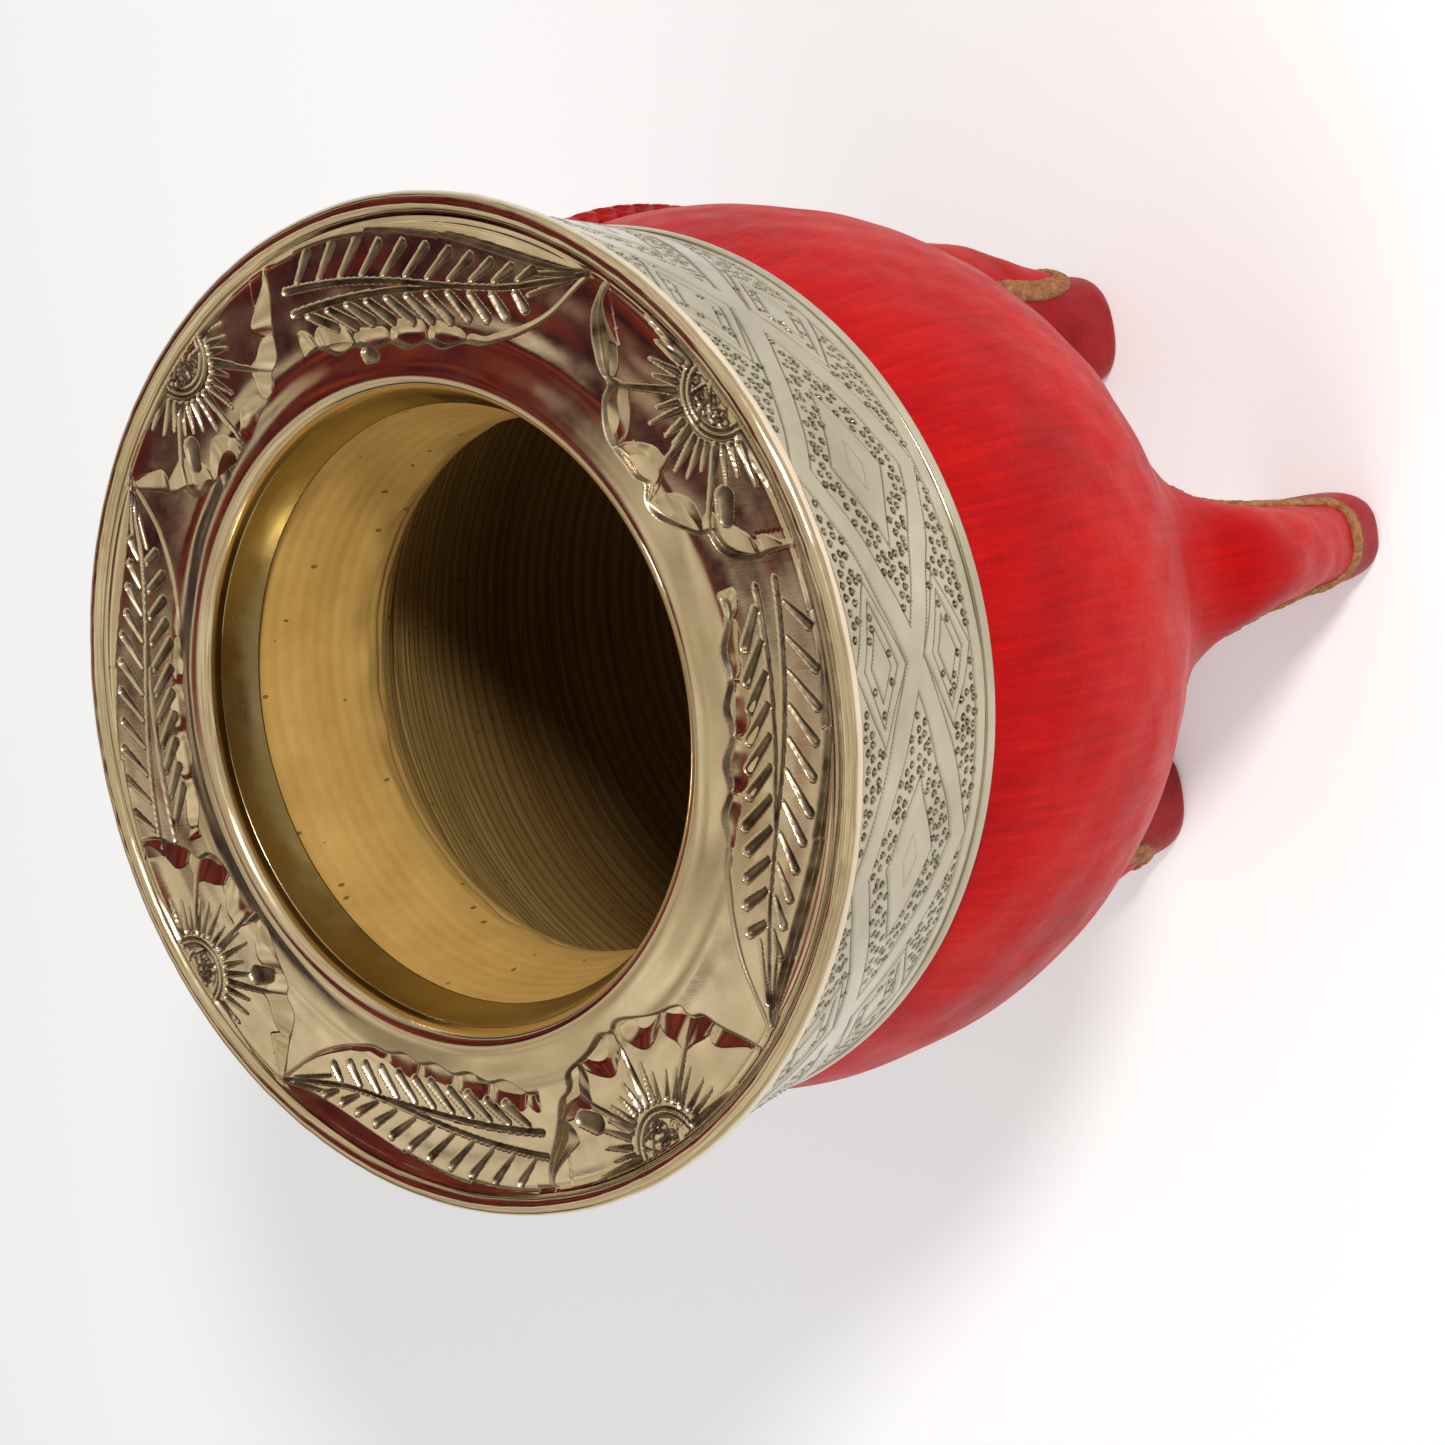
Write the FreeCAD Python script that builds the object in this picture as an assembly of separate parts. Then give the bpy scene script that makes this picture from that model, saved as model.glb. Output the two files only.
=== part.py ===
import FreeCAD, Part
import math
import os

# Yerba-mate drinking cup: a leather-covered gourd on four leather-covered legs, under a
# nickel-silver collar (the virola). Millimetres. The cup stands upright: +Z up, z = 0 on
# the ground under the feet, and the cup's axis is the Z axis. Leg 1 points along -Y.

# Driving dimensions
TOP_Z = 118.5              # top of the rolled rim, the highest point of the cup
FLANGE_R = 44.0            # outer radius of the collar's flange, over the rolled rim
RIM_WIRE_R = 1.0           # radius of the rolled outer edge
LIP_R = 28.8               # radius of the crest of the rolled lip around the mouth
LIP_ROLL_R = 0.9           # radius of the roll of the lip
METAL = 0.8                # thickness of the collar's sheet metal
FIT = 0.1                  # clearance between pieces that are pressed or glued together

FLANGE_DROP = 0.5          # the flange's outer edge lies this much below the rolled rim
FLANGE_DISH = 0.7          # the flange's face falls this much from the rim to the lip
THROAT_TOP_R = 27.5        # inner radius of the throat under the lip
THROAT_LOW_R = 26.2        # inner radius of the throat at its lower edge
THROAT_LOW_Z = 113.1
BAND_TOP_R = 43.1          # outer radius of the engraved side band, top and bottom
BAND_LOW_R = 40.5
BAND_LOW_Z = 92.8
BAND_TOP_Z = 116.4         # just under the rolled rim
BEAD_HEIGHT = 1.6          # plain border strip around the foot of the band
BEAD_PROUD = 0.25
BEAD_GAP = 0.05            # the bead stands this much off the band's own slope

BODY_R = 42.5              # largest radius of the leather-covered body
BODY_Z = 75.5              # height of that largest radius
BODY_UP = 45.5             # vertical half-axis of the body above it
BODY_DOWN = 43.0           # vertical half-axis of the body below it
BODY_POWER = 2.2           # how square the lower half is (2 is an ellipse)
LEATHER = 1.6              # thickness of the leather
COVER_TOP_Z = 102.0        # the leather ends here, hidden under the metal band

GOURD_TOP_Z = 115.5        # rim of the gourd, hidden under the flange
GOURD_TOP_R = 31.0
GOURD_MOUTH_R = 26.9       # bore of the gourd at its rim
NECK_Z = 100.0             # the narrowest place inside the gourd
NECK_R = 24.4
FLOOR = 4.5                # thickness of the gourd at its bottom

BASE_R = 16.0              # radius of the round leather patch under the body
LACE_AZIMUTH = 4.0         # the laced seam of the leather, degrees from +X
LACE_LOW_Z = 58.0
LACE_TOP_Z = 91.5
LACE_WIDTH = 5.0
LACE_PROUD = 1.2
LACE_GAP = 0.02            # the lace's strip stands this much off the leather

LEGS = 4
FIRST_LEG_AZIMUTH = -90.0  # degrees from +X
EDGE_WIDTH = 1.8           # the raw leather edge that shows as a brown line
EDGE_PROUD = 0.35

AXIS = FreeCAD.Vector(0, 0, 1)
ORIGIN = FreeCAD.Vector(0, 0, 0)

# The gourd's inner wall below the neck: radius and height, down to near the floor.
GOURD_WALL = [(30.6, 92.0), (35.0, 82.0), (36.4, 72.0), (34.8, 60.0), (28.8, 48.0), (17.5, 40.6)]

# Sections of a leg over its leather: height, inner reach, outer reach, half width.
LEG_SECTIONS = [
    (0.0, 22.4, 32.6, 4.0),
    (1.6, 21.2, 34.0, 5.0),
    (8.0, 21.0, 34.6, 5.2),
    (15.0, 21.5, 35.9, 5.0),
    (22.0, 21.5, 37.4, 5.2),
    (30.0, 20.8, 38.6, 5.8),
    (36.0, 19.6, 38.2, 6.9),
    (42.0, 18.5, 35.4, 8.3),
    (50.0, 18.0, 31.6, 9.0),
]
LEG_POWER = 2.5            # squareness of the sections
LEG_SECTION_POINTS = 14

# Where the leg's outer leather ends on its flank: reach and height, from the toe upward.
EDGE_LINE = [(37.0, 9.2), (33.0, 8.6), (30.4, 8.6), (28.6, 11.0), (27.6, 17.0),
             (26.8, 24.0), (26.0, 31.0), (24.6, 40.0), (22.5, 50.0)]

PROFILE_STEPS = 14         # points of the body's outline below its largest radius
PROFILE_TOP_STEPS = 4      # and above it
BEYOND = 60.0              # reaches past every surface of the cup from its axis
SLAB_HALF = 20.0           # half width of a cutting slab, wider than a leg
UNDER = 5.0                # cutting shapes start this far below the ground


def revolve(points):
    """Solid of revolution about Z of a closed outline of (radius, height) corners."""
    corners = [FreeCAD.Vector(r, 0, z) for r, z in points]
    face = Part.Face(Part.makePolygon(corners + corners[:1]))
    return face.revolve(ORIGIN, AXIS, 360)


def revolve_edges(edges):
    """Solid of revolution about Z of a closed chain of edges in the XZ plane."""
    face = Part.Face(Part.Wire(edges))
    return face.revolve(ORIGIN, AXIS, 360)


def line(a, b):
    return Part.LineSegment(FreeCAD.Vector(a[0], 0, a[1]), FreeCAD.Vector(b[0], 0, b[1])).toShape()


def curve(points):
    """Smooth edge in the XZ plane through (radius, height) points."""
    spline = Part.BSplineCurve()
    spline.interpolate([FreeCAD.Vector(r, 0, z) for r, z in points])
    return spline.toShape()


def body_radius(z, inset):
    """Radius of the body at height z, taken in by inset from the outer leather."""
    if z >= BODY_Z:
        ratio = min(1.0, (z - BODY_Z) / (BODY_UP - inset))
        return (BODY_R - inset) * math.sqrt(1.0 - ratio ** 2)
    ratio = min(1.0, (BODY_Z - z) / (BODY_DOWN - inset))
    return (BODY_R - inset) * (1.0 - ratio ** BODY_POWER) ** (1.0 / BODY_POWER)


def body_outline(top_z, inset):
    """(radius, height) points of the body's outline from its lowest point up to top_z."""
    low_z = BODY_Z - BODY_DOWN + inset
    heights = []
    for i in range(PROFILE_STEPS + 1):
        angle = 0.5 * math.pi * i / PROFILE_STEPS
        heights.append(BODY_Z - (BODY_Z - low_z) * math.cos(angle))
    for i in range(1, PROFILE_TOP_STEPS + 1):
        heights.append(BODY_Z + (top_z - BODY_Z) * i / PROFILE_TOP_STEPS)
    return [(body_radius(z, inset), z) for z in heights]


def body_solid(inset):
    """The body as a full solid up to the leather's top, taken in by inset."""
    points = body_outline(COVER_TOP_Z, inset)
    top = (0, COVER_TOP_Z)
    low = (0, points[0][1])
    return revolve_edges([curve(points), line(points[-1], top), line(top, low)])


def make_flange_plate():
    inner = LIP_R + LIP_ROLL_R + FIT
    outer = FLANGE_R - 2 * RIM_WIRE_R - FIT
    top = TOP_Z - FLANGE_DROP
    return revolve([(inner, top - FLANGE_DISH), (outer, top),
                    (outer, top - METAL), (inner, top - FLANGE_DISH - METAL)])


def make_rim_wire():
    centre = FreeCAD.Vector(0, 0, TOP_Z - RIM_WIRE_R)
    return Part.makeTorus(FLANGE_R - RIM_WIRE_R, RIM_WIRE_R, centre, AXIS)


def make_lip_ring():
    centre = FreeCAD.Vector(0, 0, TOP_Z - LIP_ROLL_R)
    return Part.makeTorus(LIP_R, LIP_ROLL_R, centre, AXIS)


def make_throat_collar():
    top = TOP_Z - 2 * LIP_ROLL_R - FIT
    thick = GOURD_MOUTH_R - FIT - THROAT_LOW_R
    return revolve([(THROAT_TOP_R, top), (THROAT_TOP_R + thick, top),
                    (THROAT_LOW_R + thick, THROAT_LOW_Z), (THROAT_LOW_R, THROAT_LOW_Z)])


def band_outer_radius(z):
    return BAND_LOW_R + (BAND_TOP_R - BAND_LOW_R) * (z - BAND_LOW_Z) / (BAND_TOP_Z - BAND_LOW_Z)


def make_band_sleeve():
    return revolve([(BAND_TOP_R, BAND_TOP_Z), (BAND_TOP_R - METAL, BAND_TOP_Z),
                    (BAND_LOW_R - METAL, BAND_LOW_Z), (BAND_LOW_R, BAND_LOW_Z)])


def make_band_bead():
    top = BAND_LOW_Z + BEAD_HEIGHT
    mid = BAND_LOW_Z + BEAD_HEIGHT / 2
    crest = band_outer_radius(mid) + BEAD_GAP + BEAD_PROUD
    return revolve([(band_outer_radius(BAND_LOW_Z) + BEAD_GAP, BAND_LOW_Z),
                    (crest, mid - BEAD_HEIGHT / 4), (crest, mid + BEAD_HEIGHT / 4),
                    (band_outer_radius(top) + BEAD_GAP, top)])


def gourd_outer():
    """The gourd's outside as a full solid: the body inside the leather, and its neck."""
    points = body_outline(COVER_TOP_Z, LEATHER)
    rim = (GOURD_TOP_R, GOURD_TOP_Z)
    top = (0, GOURD_TOP_Z)
    low = (0, points[0][1])
    return revolve_edges([curve(points), line(points[-1], rim), line(rim, top), line(top, low)])


def gourd_hollow():
    """The space inside the gourd, past its rim."""
    floor = (0, BODY_Z - BODY_DOWN + LEATHER + FLOOR)
    above = (0, TOP_Z)
    mouth = (GOURD_MOUTH_R, TOP_Z)
    rim = (GOURD_MOUTH_R, THROAT_LOW_Z)
    neck = (NECK_R, NECK_Z)
    wall = curve([neck] + GOURD_WALL + [floor])
    return revolve_edges([line(floor, above), line(above, mouth), line(mouth, rim),
                          line(rim, neck), wall])


def make_gourd_shell():
    return gourd_outer().cut(gourd_hollow())


def leg_section(z, inner, outer, half_width, grow):
    """Closed curve around a leg at height z, grown outward by grow."""
    middle = (inner + outer) / 2
    reach = (outer - inner) / 2 + grow
    width = half_width + grow
    points = []
    for i in range(LEG_SECTION_POINTS):
        angle = 2 * math.pi * i / LEG_SECTION_POINTS
        c = math.cos(angle)
        s = math.sin(angle)
        x = middle + reach * math.copysign(abs(c) ** (2 / LEG_POWER), c)
        y = width * math.copysign(abs(s) ** (2 / LEG_POWER), s)
        points.append(FreeCAD.Vector(x, y, z))
    spline = Part.BSplineCurve()
    spline.interpolate(points, PeriodicFlag=True)
    return Part.Wire(spline.toShape())


def leg_solid(grow):
    """One leg along +X, lofted through its sections and grown outward by grow."""
    wires = []
    for z, inner, outer, half_width in LEG_SECTIONS:
        wires.append(leg_section(z, inner, outer, half_width, grow))
    return Part.makeLoft(wires, True, False)


def slab(outline):
    """Outline of (reach, height) corners in the XZ plane, as a slab wider than a leg."""
    corners = [FreeCAD.Vector(r, -SLAB_HALF, z) for r, z in outline]
    face = Part.Face(Part.makePolygon(corners + corners[:1]))
    return face.extrude(FreeCAD.Vector(0, 2 * SLAB_HALF, 0))


def edge_line_offset(distance):
    """EDGE_LINE moved sideways by distance, toward the foot's underside."""
    moved = []
    last = len(EDGE_LINE) - 1
    for i, (r, z) in enumerate(EDGE_LINE):
        a = EDGE_LINE[max(i - 1, 0)]
        b = EDGE_LINE[min(i + 1, last)]
        length = math.hypot(b[0] - a[0], b[1] - a[1])
        moved.append((r + distance * (a[1] - b[1]) / length, z + distance * (b[0] - a[0]) / length))
    return moved


def leg_parts(body):
    """The pieces of a leg along +X, which butt against the body: core, cover, lining, edge."""
    outer = leg_solid(0).cut(body)
    sole = Part.makeBox(BEYOND, 2 * SLAB_HALF, LEATHER + UNDER, FreeCAD.Vector(0, -SLAB_HALF, -UNDER))
    core = leg_solid(-LEATHER).cut(body).cut(sole)
    skin = outer.cut(core)
    edge_low = edge_line_offset(EDGE_WIDTH)
    toe_z = EDGE_LINE[0][1]
    top_z = EDGE_LINE[-1][1]
    front = slab(EDGE_LINE + [(BEYOND, top_z), (BEYOND, toe_z)])
    back = slab(edge_low + [(0, top_z), (0, -UNDER), (BEYOND, -UNDER)])
    strip = slab(EDGE_LINE + edge_low[::-1])
    proud = leg_solid(EDGE_PROUD).cut(body).cut(core)
    return {
        "leg_core": biggest(core),
        "leg_cover": biggest(skin.common(front)),
        "leg_lining": biggest(skin.common(back)),
        "leg_edge": biggest(proud.common(strip)),
    }


def biggest(shape):
    """The largest solid of a shape, without the slivers that a cut can leave."""
    return max(shape.Solids, key=lambda solid: solid.Volume)


def turn(shape, degrees):
    turned = shape.copy()
    turned.rotate(ORIGIN, AXIS, degrees)
    return turned


def make_seam_lace():
    """Plain strip that holds the place of the laced seam, up one side of the body."""
    strip = body_solid(-LACE_PROUD).cut(body_solid(-LACE_GAP))
    box = Part.makeBox(BEYOND, LACE_WIDTH, LACE_TOP_Z - LACE_LOW_Z,
                       FreeCAD.Vector(0, -LACE_WIDTH / 2, LACE_LOW_Z))
    return turn(biggest(strip.common(box)), LACE_AZIMUTH)


def build():
    body = body_solid(0)
    shell = body.cut(gourd_outer())
    patch = Part.makeCylinder(BASE_R, BODY_Z, ORIGIN, AXIS)
    hole = Part.makeCylinder(BASE_R + FIT, BODY_Z, ORIGIN, AXIS)
    pieces = {
        "gourd_shell": make_gourd_shell(),
        "body_cover": shell.cut(hole),
        "base_patch": shell.common(patch),
        "seam_lace": make_seam_lace(),
        "flange_plate": make_flange_plate(),
        "rim_wire": make_rim_wire(),
        "lip_ring": make_lip_ring(),
        "throat_collar": make_throat_collar(),
        "band_sleeve": make_band_sleeve(),
        "band_bead": make_band_bead(),
    }
    leg = leg_parts(body)
    for k in range(LEGS):
        for name, shape in leg.items():
            pieces[f"{name}_{k + 1}"] = turn(shape, FIRST_LEG_AZIMUTH + 360 / LEGS * k)
    return pieces


os.makedirs("parts", exist_ok=True)
for node, shape in build().items():
    solid = shape if shape.ShapeType == "Solid" else biggest(shape)
    solid.exportStep(f"parts/{node}.step")
    box = solid.BoundBox
    print(f"{node:16s} {solid.isValid()} vol {solid.Volume:9.1f}  x {box.XMin:6.1f} {box.XMax:6.1f}"
          f"  y {box.YMin:6.1f} {box.YMax:6.1f}  z {box.ZMin:6.1f} {box.ZMax:6.1f}")
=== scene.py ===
import bmesh
import bpy
import math
import numpy as np
from mathutils import Matrix, Vector


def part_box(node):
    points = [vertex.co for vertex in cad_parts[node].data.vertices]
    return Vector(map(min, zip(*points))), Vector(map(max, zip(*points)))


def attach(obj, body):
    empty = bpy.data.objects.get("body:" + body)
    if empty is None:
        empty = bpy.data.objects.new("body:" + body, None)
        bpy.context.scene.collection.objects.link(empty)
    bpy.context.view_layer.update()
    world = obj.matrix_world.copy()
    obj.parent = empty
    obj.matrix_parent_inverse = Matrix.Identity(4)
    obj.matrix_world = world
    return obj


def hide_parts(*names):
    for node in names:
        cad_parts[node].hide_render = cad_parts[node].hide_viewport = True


# A yerba-mate cup: a leather-covered gourd on four legs under a chased nickel-silver collar.
# Shapes are worked out in millimetres in the row frame and become metres in make_mesh.

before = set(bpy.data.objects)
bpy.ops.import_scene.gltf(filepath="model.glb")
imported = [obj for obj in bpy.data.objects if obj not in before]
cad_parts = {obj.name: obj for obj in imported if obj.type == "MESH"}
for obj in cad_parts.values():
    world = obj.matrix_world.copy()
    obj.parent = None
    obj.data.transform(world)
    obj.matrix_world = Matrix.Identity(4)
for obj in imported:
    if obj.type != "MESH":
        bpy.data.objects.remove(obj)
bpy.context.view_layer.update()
MM = 0.001


def box_mm(node):
    """Lowest and highest corner of a CAD node in millimetres."""
    return [np.array(corner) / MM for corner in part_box(node)]


# Sizes read from the frame, mm
flange_high = box_mm("flange_plate")[1]
rim_low, rim_high = box_mm("rim_wire")
lip_low, lip_high = box_mm("lip_ring")
throat_low = box_mm("throat_collar")[0]
band_low, band_high = box_mm("band_sleeve")
bead_high = box_mm("band_bead")[1]
cover_high = box_mm("body_cover")[1]
patch_low = box_mm("base_patch")[0]
lace_low, lace_high = box_mm("seam_lace")

TOP_Z = rim_high[2]
FLANGE_R = rim_high[1]
RIM_ROLL = (rim_high[2] - rim_low[2]) / 2
PLATE_OUT = flange_high[1]
PLATE_TOP = flange_high[2]
PLATE_DISH = 0.7
LIP_ROLL = (lip_high[2] - lip_low[2]) / 2
LIP_R = lip_high[1] - LIP_ROLL
PLATE_IN = LIP_R + LIP_ROLL - 0.1
BAND_TOP_Z = band_high[2]
BAND_LOW_Z = band_low[2]
BAND_TOP_R = band_high[1]
BAND_LOW_R = bead_high[1] - 0.4
THROAT_LOW_Z = throat_low[2]
THROAT_TOP_R = 27.5
THROAT_LOW_R = 26.2
BODY_R = cover_high[1]
BODY_Z = 75.5
BODY_UP = 45.5
BODY_DOWN = BODY_Z - patch_low[2]
BODY_POWER = 2.2
COVER_TOP_Z = cover_high[2]

LEG_AZIMUTHS = np.radians([-90.0, 0.0, 90.0, 180.0])
# Leg sections: height, inner reach, outer reach, half width (the CAD legs' own)
LEG_SECTIONS = np.array([
    (0.0, 22.0, 33.0, 4.2), (1.6, 21.2, 34.0, 5.0), (8.0, 21.0, 34.6, 5.2),
    (15.0, 21.5, 35.9, 5.0), (22.0, 21.5, 37.4, 5.2), (30.0, 20.8, 38.6, 5.8),
    (36.0, 19.6, 38.2, 6.9), (42.0, 18.5, 35.4, 8.3), (50.0, 18.0, 31.6, 9.0)])
LEG_POWER = 2.5
# Where the leg's outer leather ends on its flank: reach and height, from the toe upward
EDGE_LINE = np.array([(37.0, 9.2), (35.0, 8.9), (33.4, 9.8), (32.6, 12.5), (32.2, 17.0),
                      (32.4, 24.0), (32.2, 31.0), (29.5, 40.0), (26.0, 50.0)])


# --- meshes

def add_object(name, data):
    made = bpy.data.objects.new(name, data)
    bpy.context.scene.collection.objects.link(made)
    return made


def make_mesh(name, verts, quads):
    """Object from vertices in millimetres and quads as arrays."""
    verts = np.asarray(verts, float) * MM
    quads = np.asarray(quads, np.int32)
    mesh = bpy.data.meshes.new(name)
    mesh.vertices.add(len(verts))
    mesh.vertices.foreach_set("co", verts.ravel())
    mesh.loops.add(quads.size)
    mesh.loops.foreach_set("vertex_index", quads.ravel())
    mesh.polygons.add(len(quads))
    mesh.polygons.foreach_set("loop_start", np.arange(0, quads.size, 4, dtype=np.int32))
    mesh.polygons.foreach_set("use_smooth", np.full(len(quads), True))
    mesh.update(calc_edges=True)
    mesh.validate()
    return add_object(name, mesh)


def grid_piece(name, points, wrap_cols=True, wrap_rows=False):
    """Object from a (rows, columns, 3) array of points in millimetres."""
    rows, cols = points.shape[:2]
    i = np.arange(rows if wrap_rows else rows - 1)
    j = np.arange(cols if wrap_cols else cols - 1)
    a, b = np.meshgrid(i, j, indexing="ij")
    a2 = (a + 1) % rows
    b2 = (b + 1) % cols
    quads = np.stack([a * cols + b, a * cols + b2, a2 * cols + b2, a2 * cols + b], -1)
    return make_mesh(name, points.reshape(-1, 3), quads.reshape(-1, 4))


def clamp(x):
    return np.clip(x, 0, 1)


def bell(x, width):
    return np.exp(-(x / width) ** 2)


def arc_length(curve):
    """Length of the polyline curve up to each of its points."""
    return np.append(0, np.cumsum(np.linalg.norm(np.diff(curve, axis=0), axis=1)))


def turns(count):
    """Evenly spaced angles once round."""
    return 2 * np.pi * np.arange(count) / count


def unit(vectors):
    return vectors / np.linalg.norm(vectors, axis=-1, keepdims=True)


def squarish(wave, power):
    """A sine or cosine with fuller shoulders, for sections between round and square."""
    return np.sign(wave) * np.abs(wave) ** power


def polar(r, angle, z):
    """Points from radius, angle round the cup's axis, and height."""
    return np.stack([r * np.cos(angle), r * np.sin(angle), z], -1)


def around(radii, heights, cols):
    """Points of a lathe form: radii and heights are (rows,) or (rows, cols)."""
    angle = turns(cols)
    radii = np.broadcast_to(np.reshape(radii, (len(radii), -1)), (len(radii), cols))
    heights = np.broadcast_to(np.reshape(heights, (len(heights), -1)), radii.shape)
    return polar(radii, angle, heights)


def through(points, count):
    """Catmull-Rom curve through points, evenly spaced along its length."""
    p = np.asarray(points, float)
    ends = np.vstack([2 * p[0] - p[1], p, 2 * p[-1] - p[-2]])
    t = np.linspace(0, len(p) - 1, 40 * len(p))
    k = np.minimum(t.astype(int), len(p) - 2)
    u = (t - k)[:, None]
    a, b, c, d = ends[k], ends[k + 1], ends[k + 2], ends[k + 3]
    curve = 0.5 * (2 * b + (c - a) * u + (2 * a - 5 * b + 4 * c - d) * u ** 2
                   + (3 * b - a - 3 * c + d) * u ** 3)
    return resample(curve, count)


def resample(curve, count):
    """The polyline curve again as count evenly spaced points."""
    length = arc_length(curve)
    at = np.linspace(0, length[-1], count)
    return np.stack([np.interp(at, length, curve[:, k]) for k in range(curve.shape[1])], -1)


def lattice_noise(x, y, seed, period_x=256):
    """Smooth noise in -1..1 of two coordinates, periodic in both."""
    table = np.random.default_rng(seed).uniform(-1, 1, (256, 256))
    i = np.floor(x).astype(int)
    j = np.floor(y).astype(int)
    u, v = (t * t * (3 - 2 * t) for t in (x - i, y - j))
    i0, i1 = i % period_x % 256, (i + 1) % period_x % 256
    j0, j1 = j % 256, (j + 1) % 256
    low = table[i0, j0] * (1 - u) + table[i1, j0] * u
    high = table[i0, j1] * (1 - u) + table[i1, j1] * u
    return low * (1 - v) + high * v


def round_noise(angle, count, y, seed):
    """Smooth noise round the cup, with count cells to the turn."""
    return lattice_noise(angle * count / (2 * np.pi), y, seed, count)


def set_relief(piece, values):
    """Stores the number per vertex by which the metal's colour darkens in the cuts: dark patina and
    painted shade.
    """
    attribute = piece.data.attributes.new("relief", "FLOAT", "POINT")
    attribute.data.foreach_set("value", np.asarray(values, np.float32).ravel())


def finish_piece(piece, material, slot, *nodes):
    piece.data.materials.append(material)
    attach(piece, "root")
    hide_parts(*nodes)


def ring_piece(name, points, material, slot, node):
    """Finished piece from a closed profile's points once round."""
    finish_piece(grid_piece(name, points, wrap_rows=True), material, slot, node)


# --- materials

class Nodes:
    """Short helper for building a node tree."""

    def __init__(self, material):
        self.tree = material.node_tree
        self.tree.nodes.clear()

    def add(self, kind, inputs=None, **settings):
        node = self.tree.nodes.new(kind)
        for key, value in settings.items():
            setattr(node, key, value)
        for key, value in (inputs or {}).items():
            if isinstance(value, bpy.types.NodeSocket):
                self.tree.links.new(value, node.inputs[key])
            elif value is not None:
                node.inputs[key].default_value = value
        return node

    def remap(self, value, low, high, to_low, to_high, **settings):
        inputs = {0: value, 1: low, 2: high, 3: to_low, 4: to_high}
        return self.add("ShaderNodeMapRange", inputs, **settings).outputs[0]

    def math(self, operation, a, b=0.0):
        return self.add("ShaderNodeMath", {0: a, 1: b}, operation=operation).outputs[0]

    def times(self, a, b):
        return self.math("MULTIPLY", a, b)

    def split(self, vector):
        return self.add("ShaderNodeSeparateXYZ", {0: vector}).outputs

    def join(self, x, y, z):
        return self.add("ShaderNodeCombineXYZ", {0: x, 1: y, 2: z}).outputs[0]

    def ramp(self, value, stops):
        node = self.add("ShaderNodeValToRGB", {"Fac": value})
        elements = node.color_ramp.elements
        while len(elements) < len(stops):
            elements.new(0.5)
        for element, (position, colour) in zip(elements, stops):
            element.position = position
            element.color = (*colour, 1)
        return node.outputs["Color"]

    def mix(self, factor, a, b):
        a, b = ((*value, 1) if isinstance(value, tuple) else value for value in (a, b))
        return self.add("ShaderNodeMix", {0: factor, 6: a, 7: b}, data_type="RGBA").outputs[2]

    def noise(self, vector, scale, detail=4.0, roughness=0.5, distortion=0.0):
        """Noise; a scale of three numbers stretches it."""
        if isinstance(scale, tuple):
            vector, scale = self.stretched(vector, scale), 1.0
        inputs = {"Vector": vector, "Scale": scale, "Detail": detail, "Roughness": roughness,
                  "Distortion": distortion}
        return self.add("ShaderNodeTexNoise", inputs).outputs["Fac"]

    def position(self):
        return self.add("ShaderNodeTexCoord").outputs["Object"]

    def stretched(self, vector, scale):
        return self.add("ShaderNodeMapping", {"Vector": vector, "Scale": scale}).outputs[0]

    def bump(self, height, strength, distance, normal=None):
        return self.add("ShaderNodeBump", {"Height": height, "Strength": strength,
                                           "Distance": distance, "Normal": normal}).outputs[0]

    def surface(self, colour, rough, normal=None, **more):
        """Puts a principled surface on the material."""
        inputs = {"Base Color": colour, "Roughness": rough, "Normal": normal}
        inputs.update({key.replace("_", " "): value for key, value in more.items()})
        shader = self.add("ShaderNodeBsdfPrincipled", inputs)
        self.add("ShaderNodeOutputMaterial", {"Surface": shader.outputs[0]})


def material(name):
    made = bpy.data.materials.new(name)
    made.use_nodes = True
    return made, Nodes(made)


def metal_material(name, light, warm, roughness):
    """Polished nickel silver: patchy tone, fine wipe marks, dark patina and painted shade in the
    cuts.
    """
    made, n = material(name)
    place = n.position()
    colour = n.ramp(n.noise(place, 70.0, 5.0, 0.6), [(0.3, warm), (0.7, light)])
    relief = n.add("ShaderNodeAttribute", attribute_name="relief").outputs["Fac"]
    patch_amount = n.remap(n.noise(place, 500.0, 3.0), 0.3, 0.7, 0.65, 1.0)
    # the cuts are darkened by the relief attribute: dark patina, and painted shade where the
    # recesses fall dark
    patina_and_shade = n.times(n.remap(relief, 0.08, 0.60, 0.0, 1.0), patch_amount)
    colour = n.mix(patina_and_shade, colour, (0.055, 0.032, 0.024))
    wipes = n.noise(place, (2600.0, 380.0, 900.0), 3.0, 0.7)
    rough = n.remap(n.noise(place, 260.0, 6.0, 0.65), 0.3, 0.75, roughness * 0.6, roughness * 1.7)
    rough = n.math("ADD", rough, n.times(patina_and_shade, 0.5))
    normal = n.bump(wipes, 0.02, 0.00008)
    normal = n.bump(n.noise(place, 420.0, 2.0), 0.03, 0.0002, normal)
    n.surface(colour, rough, normal, Metallic=1.0)
    return made


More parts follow.
